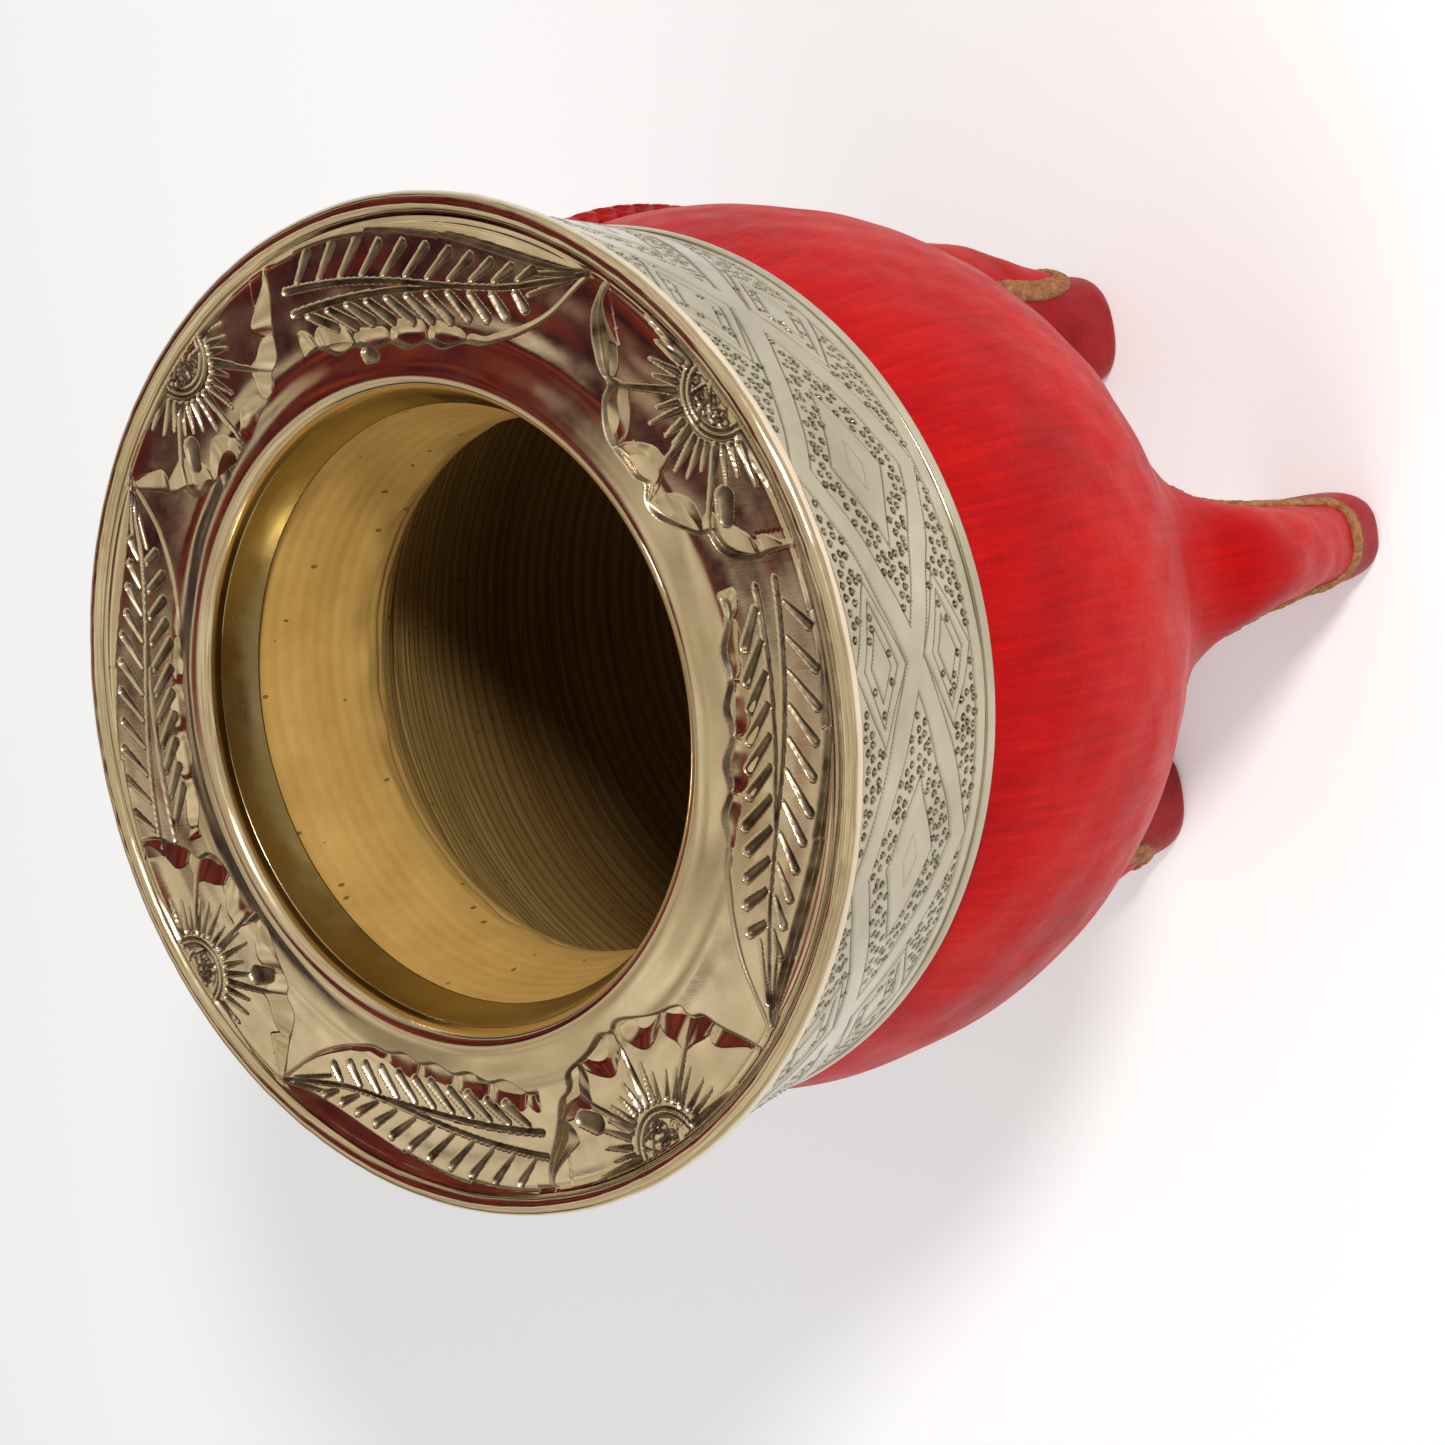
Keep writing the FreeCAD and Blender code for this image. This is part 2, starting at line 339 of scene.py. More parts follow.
def leather_material(name, deep, bright, dark):
    """Dyed leather: uneven dye brushed along the cup's axis, fine grain, a few scuffs."""
    made, n = material(name)
    place = n.position()
    x, y, z = n.split(place)
    across = n.times(n.math("ARCTAN2", y, x), 0.042)
    brushed = n.join(across, z, 0.0)
    strokes = n.noise(brushed, (1500.0, 85.0, 1.0), 5.0, 0.62, 0.4)
    fine = n.noise(brushed, (4200.0, 420.0, 1.0), 3.0, 0.6)
    cloud = n.noise(place, 62.0, 4.0, 0.55)
    dye = n.math("ADD", n.times(strokes, 0.45), n.times(cloud, 0.55))
    colour = n.ramp(dye, [(0.34, deep), (0.50, bright[0]), (0.68, bright[1])])
    colour = n.mix(n.times(n.math("GREATER_THAN", fine, 0.60), 0.16), colour, dark)
    scuffs = n.noise(place, (900.0, 140.0, 210.0), 6.0, 0.75, 1.2)
    scuff = n.remap(scuffs, 0.70, 0.78, 0.0, 0.7)
    colour = n.mix(scuff, colour, dark)
    pores = n.add("ShaderNodeTexVoronoi", {"Vector": place, "Scale": 1700.0},
                  feature="DISTANCE_TO_EDGE").outputs[0]
    grain = n.remap(pores, 0.0, 0.16, 0.0, 1.0)
    rough = n.remap(n.noise(place, 240.0, 5.0, 0.6), 0.25, 0.8, 0.34, 0.58)
    normal = n.bump(grain, 0.14, 0.00009)
    normal = n.bump(n.noise(place, 420.0, 5.0, 0.6), 0.26, 0.00035, normal)
    normal = n.bump(strokes, 0.05, 0.0003, normal)
    n.surface(colour, rough, normal, Specular_IOR_Level=0.09, Sheen_Weight=0.06,
              Sheen_Roughness=0.25, Sheen_Tint=(1.0, 0.72, 0.72, 1.0))
    return made


def gourd_material():
    """Scraped calabash: pale tan near the mouth, brown turned rings below that turn darker deeper
    inside as painted shade, small dark flecks.
    """
    made, n = material("gourd_scraped")
    place = n.position()
    height = n.split(place)[2]
    wavy = n.math("ADD", height, n.times(n.noise(place, 55.0, 2.0), 0.0016))
    rings = n.noise(n.join(0.0, 0.0, wavy), (1.0, 1.0, 1500.0), 3.0, 0.7)
    deep = n.remap(height, 0.1045, 0.0940, 0.0, 1.0)
    pale = n.ramp(n.noise(place, 130.0, 5.0, 0.6),
                  [(0.3, (0.52, 0.30, 0.07)), (0.7, (0.68, 0.42, 0.12))])
    brown = n.ramp(rings, [(0.35, (0.32, 0.19, 0.05)), (0.65, (0.60, 0.40, 0.13))])
    # painted shade: darker rings for the depths of the cavity, where little light reaches
    shaded_deep_brown = n.ramp(rings, [(0.35, (0.10, 0.045, 0.008)), (0.65, (0.20, 0.11, 0.025))])
    # painted shade: the rings turn darker further down inside the cavity
    depth = n.remap(height, 0.094, 0.070, 0.0, 1.0)
    colour = n.mix(deep, pale, n.mix(depth, brown, shaded_deep_brown))
    long_place = n.stretched(place, (620.0, 620.0, 300.0))
    flecks = n.add("ShaderNodeTexVoronoi", {"Vector": long_place, "Scale": 1.0}).outputs[0]
    chance = n.noise(place, 210.0, 3.0, 0.6)
    fleck = n.times(n.math("LESS_THAN", flecks, 0.12), n.math("GREATER_THAN", chance, 0.52))
    colour = n.mix(n.times(fleck, 0.75), colour, (0.09, 0.045, 0.015))
    normal = n.bump(rings, n.times(deep, 0.45), 0.0005)
    normal = n.bump(n.noise(place, 900.0, 4.0), 0.12, 0.0002, normal)
    rough = n.remap(chance, 0.2, 0.8, 0.5, 0.75)
    n.surface(colour, rough, normal, Specular_IOR_Level=0.35)
    return made


def fibre_material(name, scale, noise, stops, bump, rough):
    """Fibrous stuff: the leather's raw cut edge, and the carved wood of the legs' cores."""
    made, n = material(name)
    fibres = n.noise(n.position(), scale, *noise)
    colour = n.ramp(fibres, stops)
    n.surface(colour, n.remap(fibres, 0.2, 0.8, *rough), n.bump(fibres, bump, 0.0004))
    return made


def floor_material():
    made, n = material("pale_floor")
    place = n.position()
    mottle = n.noise(place, 6.0, 3.0)
    colour = n.ramp(mottle, [(0.3, (0.93, 0.93, 0.93)), (0.7, (0.95, 0.95, 0.95))])
    n.surface(colour, 0.8, Emission_Color=colour, Emission_Strength=0.22)
    return made


METAL = metal_material("chased_metal", (0.78, 0.67, 0.50), (0.66, 0.54, 0.37), 0.13)
BAND_METAL = metal_material("band_metal", (0.55, 0.50, 0.37), (0.35, 0.31, 0.21), 0.15)
THROAT_METAL = metal_material("throat_metal", (0.50, 0.43, 0.24), (0.38, 0.30, 0.14), 0.20)
RED = leather_material("red_leather", (0.34, 0.0004, 0.001),
                       ((0.50, 0.0006, 0.001), (0.62, 0.010, 0.001)), (0.12, 0.002, 0.003))
RED_DARK = leather_material("red_leather_lining", (0.20, 0.002, 0.004),
                            ((0.33, 0.004, 0.006), (0.44, 0.012, 0.010)), (0.05, 0.002, 0.003))
GOURD = gourd_material()
RAW_EDGE = fibre_material("raw_edge", (1500.0, 1500.0, 700.0), (6.0, 0.7, 0.6),
                          [(0.28, (0.12, 0.035, 0.010)), (0.5, (0.36, 0.14, 0.040)),
                           (0.72, (0.58, 0.28, 0.10))], 0.7, (0.9, 0.65))
WOOD = fibre_material("leg_wood", (420.0, 420.0, 40.0), (5.0, 0.6, 1.0),
                      [(0.35, (0.20, 0.11, 0.05)), (0.65, (0.42, 0.27, 0.14))], 0.3, (0.75, 0.55))


# --- collar: chased flange

class Relief:
    """Height field over plan coordinates, to which cuts are added, mm."""

    def __init__(self, x, y):
        self.x = x
        self.y = y
        self.h = np.zeros_like(x)
        # how much the metal's colour darkens here: dark patina, and painted shade in the cuts and
        # at the foot of walls
        self.patina_and_shade = np.zeros_like(x)

    def near(self, x, y, reach):
        return np.nonzero((np.abs(self.x - x) < reach) & (np.abs(self.y - y) < reach))

    def cut(self, start, end, first, last, depth):
        """Round-bottomed chisel cut whose half width runs from first to last."""
        a = np.asarray(start, float)
        b = np.asarray(end, float)
        d = b - a
        length = max(float(np.linalg.norm(d)), 1e-6)
        at = self.near(*((a + b) / 2), length / 2 + 2 * max(first, last))
        px = self.x[at] - a[0]
        py = self.y[at] - a[1]
        along = clamp((px * d[0] + py * d[1]) / length ** 2)
        away = np.hypot(px - along * d[0], py - along * d[1])
        wide = first + (last - first) * along
        bowl = np.sqrt(clamp(1 - (away / wide) ** 2))
        scale = np.clip(wide / max(first, last), 0.4, 1)
        self.h[at] = np.minimum(self.h[at], -depth * bowl * scale)
        # the floor of the cut is darkened: dark patina and painted shade
        self.patina_and_shade[at] = np.maximum(self.patina_and_shade[at], bowl * scale)

    def line(self, points, width, depth):
        """Fine groove of even width along a polyline."""
        for a, b in zip(points[:-1], points[1:]):
            self.cut(a, b, width, width, depth)

    def ring(self, x, y, radius, width, depth):
        at = self.near(x, y, radius + 3 * width)
        away = np.hypot(self.x[at] - x, self.y[at] - y)
        punched = bell(away - radius, width)
        self.h[at] -= depth * punched
        # the punched ring is darkened: dark patina and painted shade
        self.patina_and_shade[at] = np.maximum(self.patina_and_shade[at], 0.8 * punched)

    def sink(self, at, inside, width, depth, wall):
        """Slopes a face down to its outline and darkens the foot of the wall beyond it with dark
        patina and painted shade.
        """
        self.h[at] = np.minimum(self.h[at], sunk_edge(inside, width, depth, wall))
        foot = bell(inside + 0.10, 0.20) * clamp(depth / 0.35)
        self.patina_and_shade[at] = np.maximum(self.patina_and_shade[at], 0.85 * foot)


def sunk_edge(inside, width, depth, wall):
    """Height of a face that slopes down, over width, to its outline: inside is the distance
    in from the outline, and a steep wall rises beyond it."""
    slope = clamp(1 - inside / np.maximum(width, 0.05))
    beyond = clamp(1 + inside / wall)
    return -depth * np.where(inside >= 0, slope, beyond)


def scallops(turn, sizes):
    """Row of rounded lobes, one to each whole number of turn, of the given sizes."""
    return np.abs(np.sin(np.pi * turn)) ** 0.5 * sizes[np.floor(turn).astype(int) % len(sizes)]


FLOWER_AZIMUTHS = np.radians([34.8, 121.0, 206.2, 301.8])
FLOWER_REACH = 11.0  # from a flower's eye on the rim to its outline, inward
FLOWER_SPREAD = 3.2  # the outline is this much further off at the sides
EYE_R = 3.4
PETAL_LINES = (-0.80, 0.02, 0.76)


def add_flower(relief, azimuth, seed):
    """Half flower growing inward from the flange's outer edge."""
    draw = np.random.default_rng(seed)
    centre = PLATE_OUT * np.array([math.cos(azimuth), math.sin(azimuth)])
    inward = -centre / np.linalg.norm(centre)
    aside = np.array([-inward[1], inward[0]])
    splits = np.array(PETAL_LINES) + draw.uniform(-0.08, 0.08, 3)
    sway = draw.uniform(-0.4, 0.4, 2)
    lobe_size = draw.uniform(0.7, 1.0, 12)
    lobe_at = draw.uniform(0, 1)

    def way(angle):
        return math.cos(angle) * inward + math.sin(angle) * aside

    def outline(angle):
        notch = sum(bell(angle - split, 0.07) for split in splits)
        bulge = 0.35 * np.cos(9 * angle + 6 * lobe_at)
        side = FLOWER_SPREAD * (1 - np.cos(angle))
        side = side + sway[0] * np.sin(angle) + sway[1] * np.sin(2 * angle)
        return FLOWER_REACH + side + bulge - 0.7 * notch

    def stroke(start, end, start_way, end_way, *sizes):
        relief.cut(centre + start * way(start_way), centre + end * way(end_way), *sizes)

    at = relief.near(*centre, 19)
    dx = relief.x[at] - centre[0]
    dy = relief.y[at] - centre[1]
    away = np.hypot(dx, dy)
    angle = np.arctan2(dx * aside[0] + dy * aside[1], dx * inward[0] + dy * inward[1])
    inside = outline(angle) - away
    turn = angle * 2.05 + lobe_at
    fade = clamp((1.32 - np.abs(angle)) / 0.25)
    width = 0.35 + 2.9 * scallops(turn, lobe_size) * fade
    depth = (0.10 + 0.21 * width) * clamp((1.5 - np.abs(angle)) / 0.1)
    relief.sink(at, inside, width, depth, 0.22)
    relief.h[at] += 0.16 * bell(away, 2.4) + 0.10 * clamp(inside / 5)
    # eye: two arcs round a field of punched rings and crossed scratches
    for radius in (EYE_R, EYE_R - 0.55):
        relief.line([centre + radius * way(a) for a in np.linspace(-1.45, 1.45, 24)], 0.15, 0.22)
    for _ in range(10):
        spot = centre + draw.uniform(0.5, 2.5) * way(draw.uniform(-1.2, 1.2))
        relief.ring(*spot, 0.40, 0.13, 0.22)
    for _ in range(7):
        spot = centre + draw.uniform(0.4, 2.4) * way(draw.uniform(-1.3, 1.3))
        turned = draw.uniform(0, math.pi)
        reach = draw.uniform(0.6, 1.1) * np.array([math.cos(turned), math.sin(turned)])
        relief.line([spot - reach, spot + reach], 0.12, 0.22)
    # chisel strokes standing round the eye, blunt at the eye and pointed outward
    for a in np.linspace(-1.30, 1.30, 15) + draw.uniform(-0.03, 0.03, 15):
        start = EYE_R + 0.7 + draw.uniform(-0.1, 0.25)
        end = start + draw.uniform(2.0, 3.6)
        stroke(start, end, a, a, 0.30, 0.09, 0.42)
    # lines that part the petals, and a thumb-shaped gouge beside one of them
    for a in splits:
        tip = float(outline(np.array([a]))[0]) - 0.2
        stroke(EYE_R + 0.9, tip, a, a, 0.26, 0.14, 0.34)
    a = splits[draw.integers(0, 3)] + 0.17
    stroke(8.0, 9.6, a, a, 0.9, 0.75, 0.5)
    # long tapered strokes along the rim on both sides
    for sign in (-1, 1):
        stroke(EYE_R + 0.3, 10.8, sign * 1.40, sign * 1.46, 0.42, 0.10, 0.42)


LEAF_SPANS = np.radians([(13.6, -36.9), (104.0, 52.5), (187.0, 139.6), (-79.0, -132.0)])
# A leaf from base to tip: place along it, then the radii of its rib, of its side toward the
# mouth and of its side toward the rim
LEAF_CURVES = through([(0.0, 37.8, 33.4, 41.7), (0.15, 37.0, 32.2, 41.6), (0.35, 36.3, 31.6, 41.2),
                       (0.55, 36.2, 31.6, 40.5), (0.75, 37.1, 32.8, 40.0),
                       (0.90, 39.3, 36.0, 40.5), (1.0, 41.6, 41.5, 41.8)], 120)
RIB, IN, OUT = 1, 2, 3     # columns of the curves
RIB_GAP = 1.05  # of either groove from the rib's middle, at the leaf's base
# Veins toward the rim and toward the mouth: side, column, length, lean, margin, least length,
# half widths at the two ends, depth
VEINS = ((1, OUT, 2.35, 0.075, 0.7, 0.6, 0.20, 0.40, 0.44),
         (-1, IN, 2.0, 0.085, 1.4, 0.7, 0.32, 0.44, 0.46))


def leaf_radius(t, column):
    return np.interp(t, LEAF_CURVES[:, 0], LEAF_CURVES[:, column])


def leaf_point(leaf, t, radius):
    angle = leaf[0] + (leaf[1] - leaf[0]) * t
    return radius * np.array([math.cos(angle), math.sin(angle)])


def rib_point(leaf, t, off=0.0):
    return leaf_point(leaf, t, leaf_radius(t, RIB) + off)


def add_leaf(relief, leaf, seed):
    draw = np.random.default_rng(seed)
    start, end = leaf
    angle = np.arctan2(relief.y, relief.x)
    radius = np.hypot(relief.x, relief.y)
    offset = (angle - (start + end) / 2 + np.pi) % (2 * np.pi) - np.pi
    t = 0.5 + offset / (end - start)
    at = np.nonzero((t > -0.02) & (t < 1.02))
    t = t[at]
    radius = radius[at]
    ends = clamp((t + 0.02) / 0.03) * clamp((1.02 - t) / 0.03)
    # side toward the mouth: beans scooped out along the outline, inside it
    lobe_at = draw.uniform(0, 1)
    lobe_size = draw.uniform(0.6, 1.0, 12)
    turn = t * 6.6 + lobe_at
    width = 0.25 + 2.1 * scallops(turn, lobe_size) * np.clip((0.74 - t) / 0.25, 0.10, 1)
    depth = (0.10 + 0.22 * width) * ends
    waves = 0.25 * np.cos(2 * np.pi * turn)
    inside = radius - (leaf_radius(t, IN) + waves * clamp((0.8 - t) * 4))
    relief.sink(at, inside, width, depth, 0.22)
    # side toward the rim: the ground slopes down to the leaf, which stands in steps
    steps = 0.30 * ((t * 4.2 + lobe_at) % 1.0) * clamp((0.7 - t) * 4)
    outer = leaf_radius(t, OUT) - steps
    beyond = radius - outer
    room = np.maximum(PLATE_OUT - 0.1 - outer, 0.25)
    depth = np.minimum(0.16 + 0.26 * room, 0.62) * ends
    relief.sink(at, beyond, room, depth, 0.2)
    # rib: two grooves that meet, and go on to the tip as one
    meet = draw.uniform(0.55, 0.66)
    for side in (-1, 1):
        along = np.linspace(0.0, meet, 16)
        for a, b in zip(along[:-1], along[1:]):
            pair = [rib_point(leaf, s, side * RIB_GAP * (1 - s / meet) ** 0.9) for s in (a, b)]
            width = 0.26 - 0.10 * a / meet
            relief.cut(*pair, width, width, 0.36)
    relief.line([rib_point(leaf, s) for s in np.linspace(meet, 0.99, 12)], 0.17, 0.30)
    # veins: slanted cuts, thin toward the rim and plump toward the mouth
    for s in np.linspace(0.05, 0.80, 11):
        narrow = 1 - 0.45 * max(0.0, (s - 0.5) / 0.3)
        base = leaf_radius(s, RIB)
        gap = RIB_GAP * max(0.0, 1 - s / meet) ** 0.9 + 0.55
        jitter = draw.uniform(-0.15, 0.15, 2)
        for vein, off in zip(VEINS, jitter):
            side, column, full, lean, margin, least, *sizes = vein
            limit = side * (leaf_radius(s + 0.06, column) - base) - gap - margin
            length = min((full + off) * narrow, max(limit, least))
            relief.cut(leaf_point(leaf, s, base + side * gap),
                       leaf_point(leaf, s + lean * length / full, base + side * (gap + length)),
                       *sizes)
    # converging lines at the tip
    for k in (-1, 1):
        relief.cut(rib_point(leaf, 0.84, 0.9 * k), rib_point(leaf, 0.955, 0.25 * k),
                   0.13, 0.20, 0.28)


LIP_FOOT_R = 33.2  # the flange starts to rise toward the lip here
SECTORS = 4
RIM_WOBBLE = 0.035


def flange_height(r):
    """Height of the plain flange, which rises in a soft curve to the crest of the lip."""
    dished = PLATE_TOP - PLATE_DISH * (PLATE_OUT - r) / (PLATE_OUT - PLATE_IN)
    u = clamp((LIP_FOOT_R - r) / (LIP_FOOT_R - LIP_R))
    rise = u ** 2 * (3 - 2 * u)
    return dished * (1 - rise) + (TOP_Z - 0.03) * rise


def sector_pieces(name, outer, back, relief, mat, node):
    """Pieces of a collar surface: outer (rows, cols, 3) points once round, closed by a back
    that is moved off it by back, one vector or one per column; normals run on between them."""
    across = np.gradient(outer, axis=0)
    along = np.roll(outer, -1, 1) - np.roll(outer, 1, 1)
    normals = unit(np.cross(along, across))
    cols = outer.shape[1]
    width = cols // SECTORS
    for k in range(SECTORS):
        j = np.arange(k * width, (k + 1) * width + 1) % cols
        face = outer[:, j]
        off = back if back.ndim == 1 else back[j]
        points = np.concatenate([face, face[-1:] + off, face[:1] + off])
        piece = grid_piece(f"{name}_{k + 1}", points, wrap_cols=False, wrap_rows=True)
        given = np.zeros_like(points)
        given[:len(face)] = normals[:, j]
        piece.data.normals_split_custom_set_from_vertices(given.reshape(-1, 3))
        cuts = np.zeros(points.shape[:2])
        cuts[:len(face)] = relief[:, j]
        set_relief(piece, cuts)
        finish_piece(piece, mat, "collar_metal", node)


def build_flange():
    a, r = np.meshgrid(turns(2000), np.linspace(PLATE_OUT, LIP_R, 112))
    relief = Relief(r * np.cos(a), r * np.sin(a))
    for k, leaf in enumerate(LEAF_SPANS):
        add_leaf(relief, leaf, 40 + k)
    for k, azimuth in enumerate(FLOWER_AZIMUTHS):
        add_flower(relief, azimuth, 20 + k)
    # two small dents beside the mouth
    for x, y in ((23.4, 20.4), (30.8, 0.3)):
        relief.cut((x - 0.4, y - 0.4), (x + 0.5, y + 0.5), 0.8, 0.5, 0.7)
    fade = clamp((PLATE_OUT - r) / 0.35) * clamp((r - LIP_R - 1.4) / 0.9)
    h = np.clip(relief.h, -0.95, 0.5) * fade
    waver = 0.085 * round_noise(a, 22, r * 0.40, 3)
    waver += 0.012 * round_noise(a, 60, r * 0.8, 4)
    groove = -0.14 * bell(PLATE_OUT - 0.2 - r, 0.30)
    crest = clamp((r - LIP_R) / 1.5)
    z = flange_height(r) + h + (waver + groove) * crest
    outer = polar(r, a, z)
    # the flange's cuts are darkened with dark patina and painted shade
    sector_pieces("chased_flange", outer, np.array([0, 0, -1.2]), relief.patina_and_shade * fade, METAL,
                  "flange_plate")


# --- collar: rim, lip, throat

def build_rim():
    """Rolled outer edge with a slightly uneven, hand-worked section."""
    t, a = np.meshgrid(turns(28), turns(720), indexing="ij")
    uneven = RIM_WOBBLE * round_noise(a, 60, t * 2 / np.pi, 5)
    uneven += RIM_WOBBLE * 0.6 * round_noise(a, 210, t, 6)
    section = RIM_ROLL - RIM_WOBBLE + uneven
    r = FLANGE_R - RIM_ROLL + section * np.cos(t)
    z = TOP_Z - RIM_ROLL + section * np.sin(t)
    points = polar(r, a, z)
    ring_piece("rolled_rim", points, METAL, "collar_metal", "rim_wire")


def build_lip():
    """Lip: takes over from the flange at its crest, rounds over and falls into the throat."""
    crest = np.array([LIP_R, TOP_Z])
    profile = through(crest - [(0.0, 0.03), (0.45, 0.13), (0.85, 0.48), (1.12, 1.05),
                               (1.28, 1.95)], 30)
    profile[1, 1] = TOP_Z - 0.03
    cols = 1000
    angle = turns(cols)
    below = clamp((TOP_Z - profile[:, 1:]) / 0.8)
    uneven = 0.05 * round_noise(angle, 24, angle * 0, 11) * below
    face = around(profile[:, :1] + uneven, profile[:, 1:], cols)
    back = through(crest - [(0.7, 1.95), (0.4, 1.2), (0.0, 0.9)], 8)
    points = np.concatenate([face, around(back[:, 0], back[:, 1], cols)])
    ring_piece("rolled_lip", points, METAL, "collar_metal", "lip_ring")


def build_throat():
    """Throat sheet, spun, with a slightly uneven lower edge."""
    top = TOP_Z - 1.9
    cols = 720
    angle = turns(cols)
    t = np.linspace(0, 1, 40)[:, None]
    uneven = 0.22 * round_noise(angle, 14, angle * 0, 13)
    low = THROAT_LOW_Z + uneven * 0.6
    z = top + (low - top) * t
    bulge = 0.10 * np.sin(np.pi * t)
    r = THROAT_TOP_R + (THROAT_LOW_R - THROAT_TOP_R) * t + bulge
    points = np.concatenate([around(r, z, cols), around([THROAT_LOW_R + 0.5], low[None], cols),
                             around([THROAT_TOP_R + 0.55], [top], cols)])
    ring_piece("spun_throat", points, THROAT_METAL, "collar_metal", "throat_collar")


# --- collar: engraved band

BAND_UNITS = 8
BAND_PHASE = math.radians(-113.6)
BAND_MIDDLE_Z = 105.9


def band_radius(z):
    return BAND_LOW_R + (BAND_TOP_R - BAND_LOW_R) * (z - BAND_LOW_Z) / (BAND_TOP_Z - BAND_LOW_Z)


def diamond(u, v, half_u, half_v):
    """Signed distance to a diamond, about millimetres."""
    reach = np.abs(u) / half_u + np.abs(v) / half_v
    return (reach - 1) * half_u * half_v / np.hypot(half_u, half_v)


def smooth_field(u, v):
    """Signed distance to the plain metal of one repeat, negative on it: u runs along the band
    from the centre of a large diamond, v up it."""
    half_period = np.pi * BAND_MEAN_R / BAND_UNITS
    ribbon = np.abs(diamond(u, v, half_period, 8.45)) - 1.27
    heart = diamond(u, v, 7.2, 3.9)
    plain = np.minimum(ribbon, heart)
    across = (u % (2 * half_period)) - half_period
    for side in (-1, 1):
        hook_v = (v - side * 5.8) * side
        hook = diamond(across, hook_v, 6.6, 4.2)
        slot = np.abs(diamond(across, hook_v, 4.0, 2.2)) - 0.50
        plain = np.minimum(plain, np.maximum(hook, -slot))
    return plain


BAND_MEAN_R = 42.0
PUNCH_PITCH = 1.08
PUNCH_R = 0.24
PUNCH_REACH = 0.65


def punch_ground(h, a, z, plain):
    """Strikes ring punches in loose rows wherever the band isn't plain."""
    draw = np.random.default_rng(71)
    rows, cols = h.shape
    high = BAND_TOP_Z - BAND_LOW_Z
    step_a = 2 * np.pi / cols
    step_z = high / (rows - 1)
    reach_j = int(PUNCH_REACH / (step_a * BAND_MEAN_R))
    reach_i = int(PUNCH_REACH / step_z)
    in_row = int(2 * np.pi * BAND_MEAN_R / PUNCH_PITCH)
    row_gap = PUNCH_PITCH * 0.90
    for row in range(int(high / row_gap)):
        places = np.arange(in_row) + 0.5 * (row % 2) + draw.uniform(-0.25, 0.25, in_row)
        angles = places * 2 * np.pi / in_row
        heights = BAND_TOP_Z - 0.5 - row * row_gap + draw.uniform(-0.22, 0.22, in_row)
        strength = draw.uniform(0.7, 1.15, in_row)
        for angle, height, force in zip(angles, heights, strength):
            ci = int(round((height - BAND_LOW_Z) / step_z))
            cj = int(round(angle / step_a)) % cols
            if ci < reach_i or ci > rows - reach_i - 2 or plain[ci, cj] < 0.26:
                continue
            block = np.ix_(np.arange(ci - reach_i, ci + reach_i + 1),
                           np.arange(cj - reach_j, cj + reach_j + 1) % cols)
            turn = (a[block] - angle + np.pi) % (2 * np.pi) - np.pi
            away = np.hypot(turn * BAND_MEAN_R, z[block] - height)
            h[block] -= 0.32 * force * bell(away - PUNCH_R, 0.09)
            h[block] += 0.13 * force * bell(away, 0.14)


def build_band():
    """The side band: plain ribbons and diamonds standing in a ring-punched ground."""
    angle = turns(2640)
    a, z = np.meshgrid(angle, np.linspace(BAND_LOW_Z, BAND_TOP_Z, 144))
    repeat = 2 * np.pi / BAND_UNITS
    phase = (a - BAND_PHASE + repeat / 2) % repeat - repeat / 2
    wander = 0.35 * round_noise(a, 48, z * 0.25, 31)
    u = phase * BAND_MEAN_R + wander
    v = z - BAND_MIDDLE_Z + 0.25 * round_noise(a, 56, z * 0.3, 32)
    plain = smooth_field(u, v)
    borders = np.minimum(BAND_TOP_Z - 0.7 - z, z - (BAND_LOW_Z + 3.2))
    plain = np.minimum(plain, borders)
    h = -0.20 * bell(plain, 0.12)
    small = diamond(u, v, 2.3, 1.15)
    h -= 0.10 * bell(small, 0.10)
    h -= 0.06 * clamp(plain / 0.25)
    punch_ground(h, a, z, plain)
    waver = 0.08 * round_noise(a, 30, z * 0.22, 35)
    r = band_radius(z) - 0.06 + h + waver
    outer = polar(r, a, z)
    thin = -0.7 * polar(1.0, angle, 0 * angle)
    # the band darkens in its cuts and punches with depth: dark patina and painted shade
    sector_pieces("engraved_band", outer, thin, clamp((-h - 0.07) / 0.27), BAND_METAL,
                  "band_sleeve")


def build_bead():
    """Plain rounded border round the foot of the band."""
    foot = np.array([BAND_LOW_R, BAND_LOW_Z])
    profile = through(foot + [(-0.3, 0.02), (0.18, 0.1), (0.36, 0.55), (0.34, 1.1), (0.17, 1.55),
                              (-0.1, 1.6)], 18)
    cols = 720
    angle = turns(cols)
    uneven = 0.035 * round_noise(angle, 50, angle * 0, 15)
    points = around(profile[:, :1] + uneven, profile[:, 1:] + uneven, cols)
    ring_piece("band_border", points, BAND_METAL, "collar_metal", "band_bead")


# --- gourd

NECK_Z = 100.0
RING_PITCH = 1.5


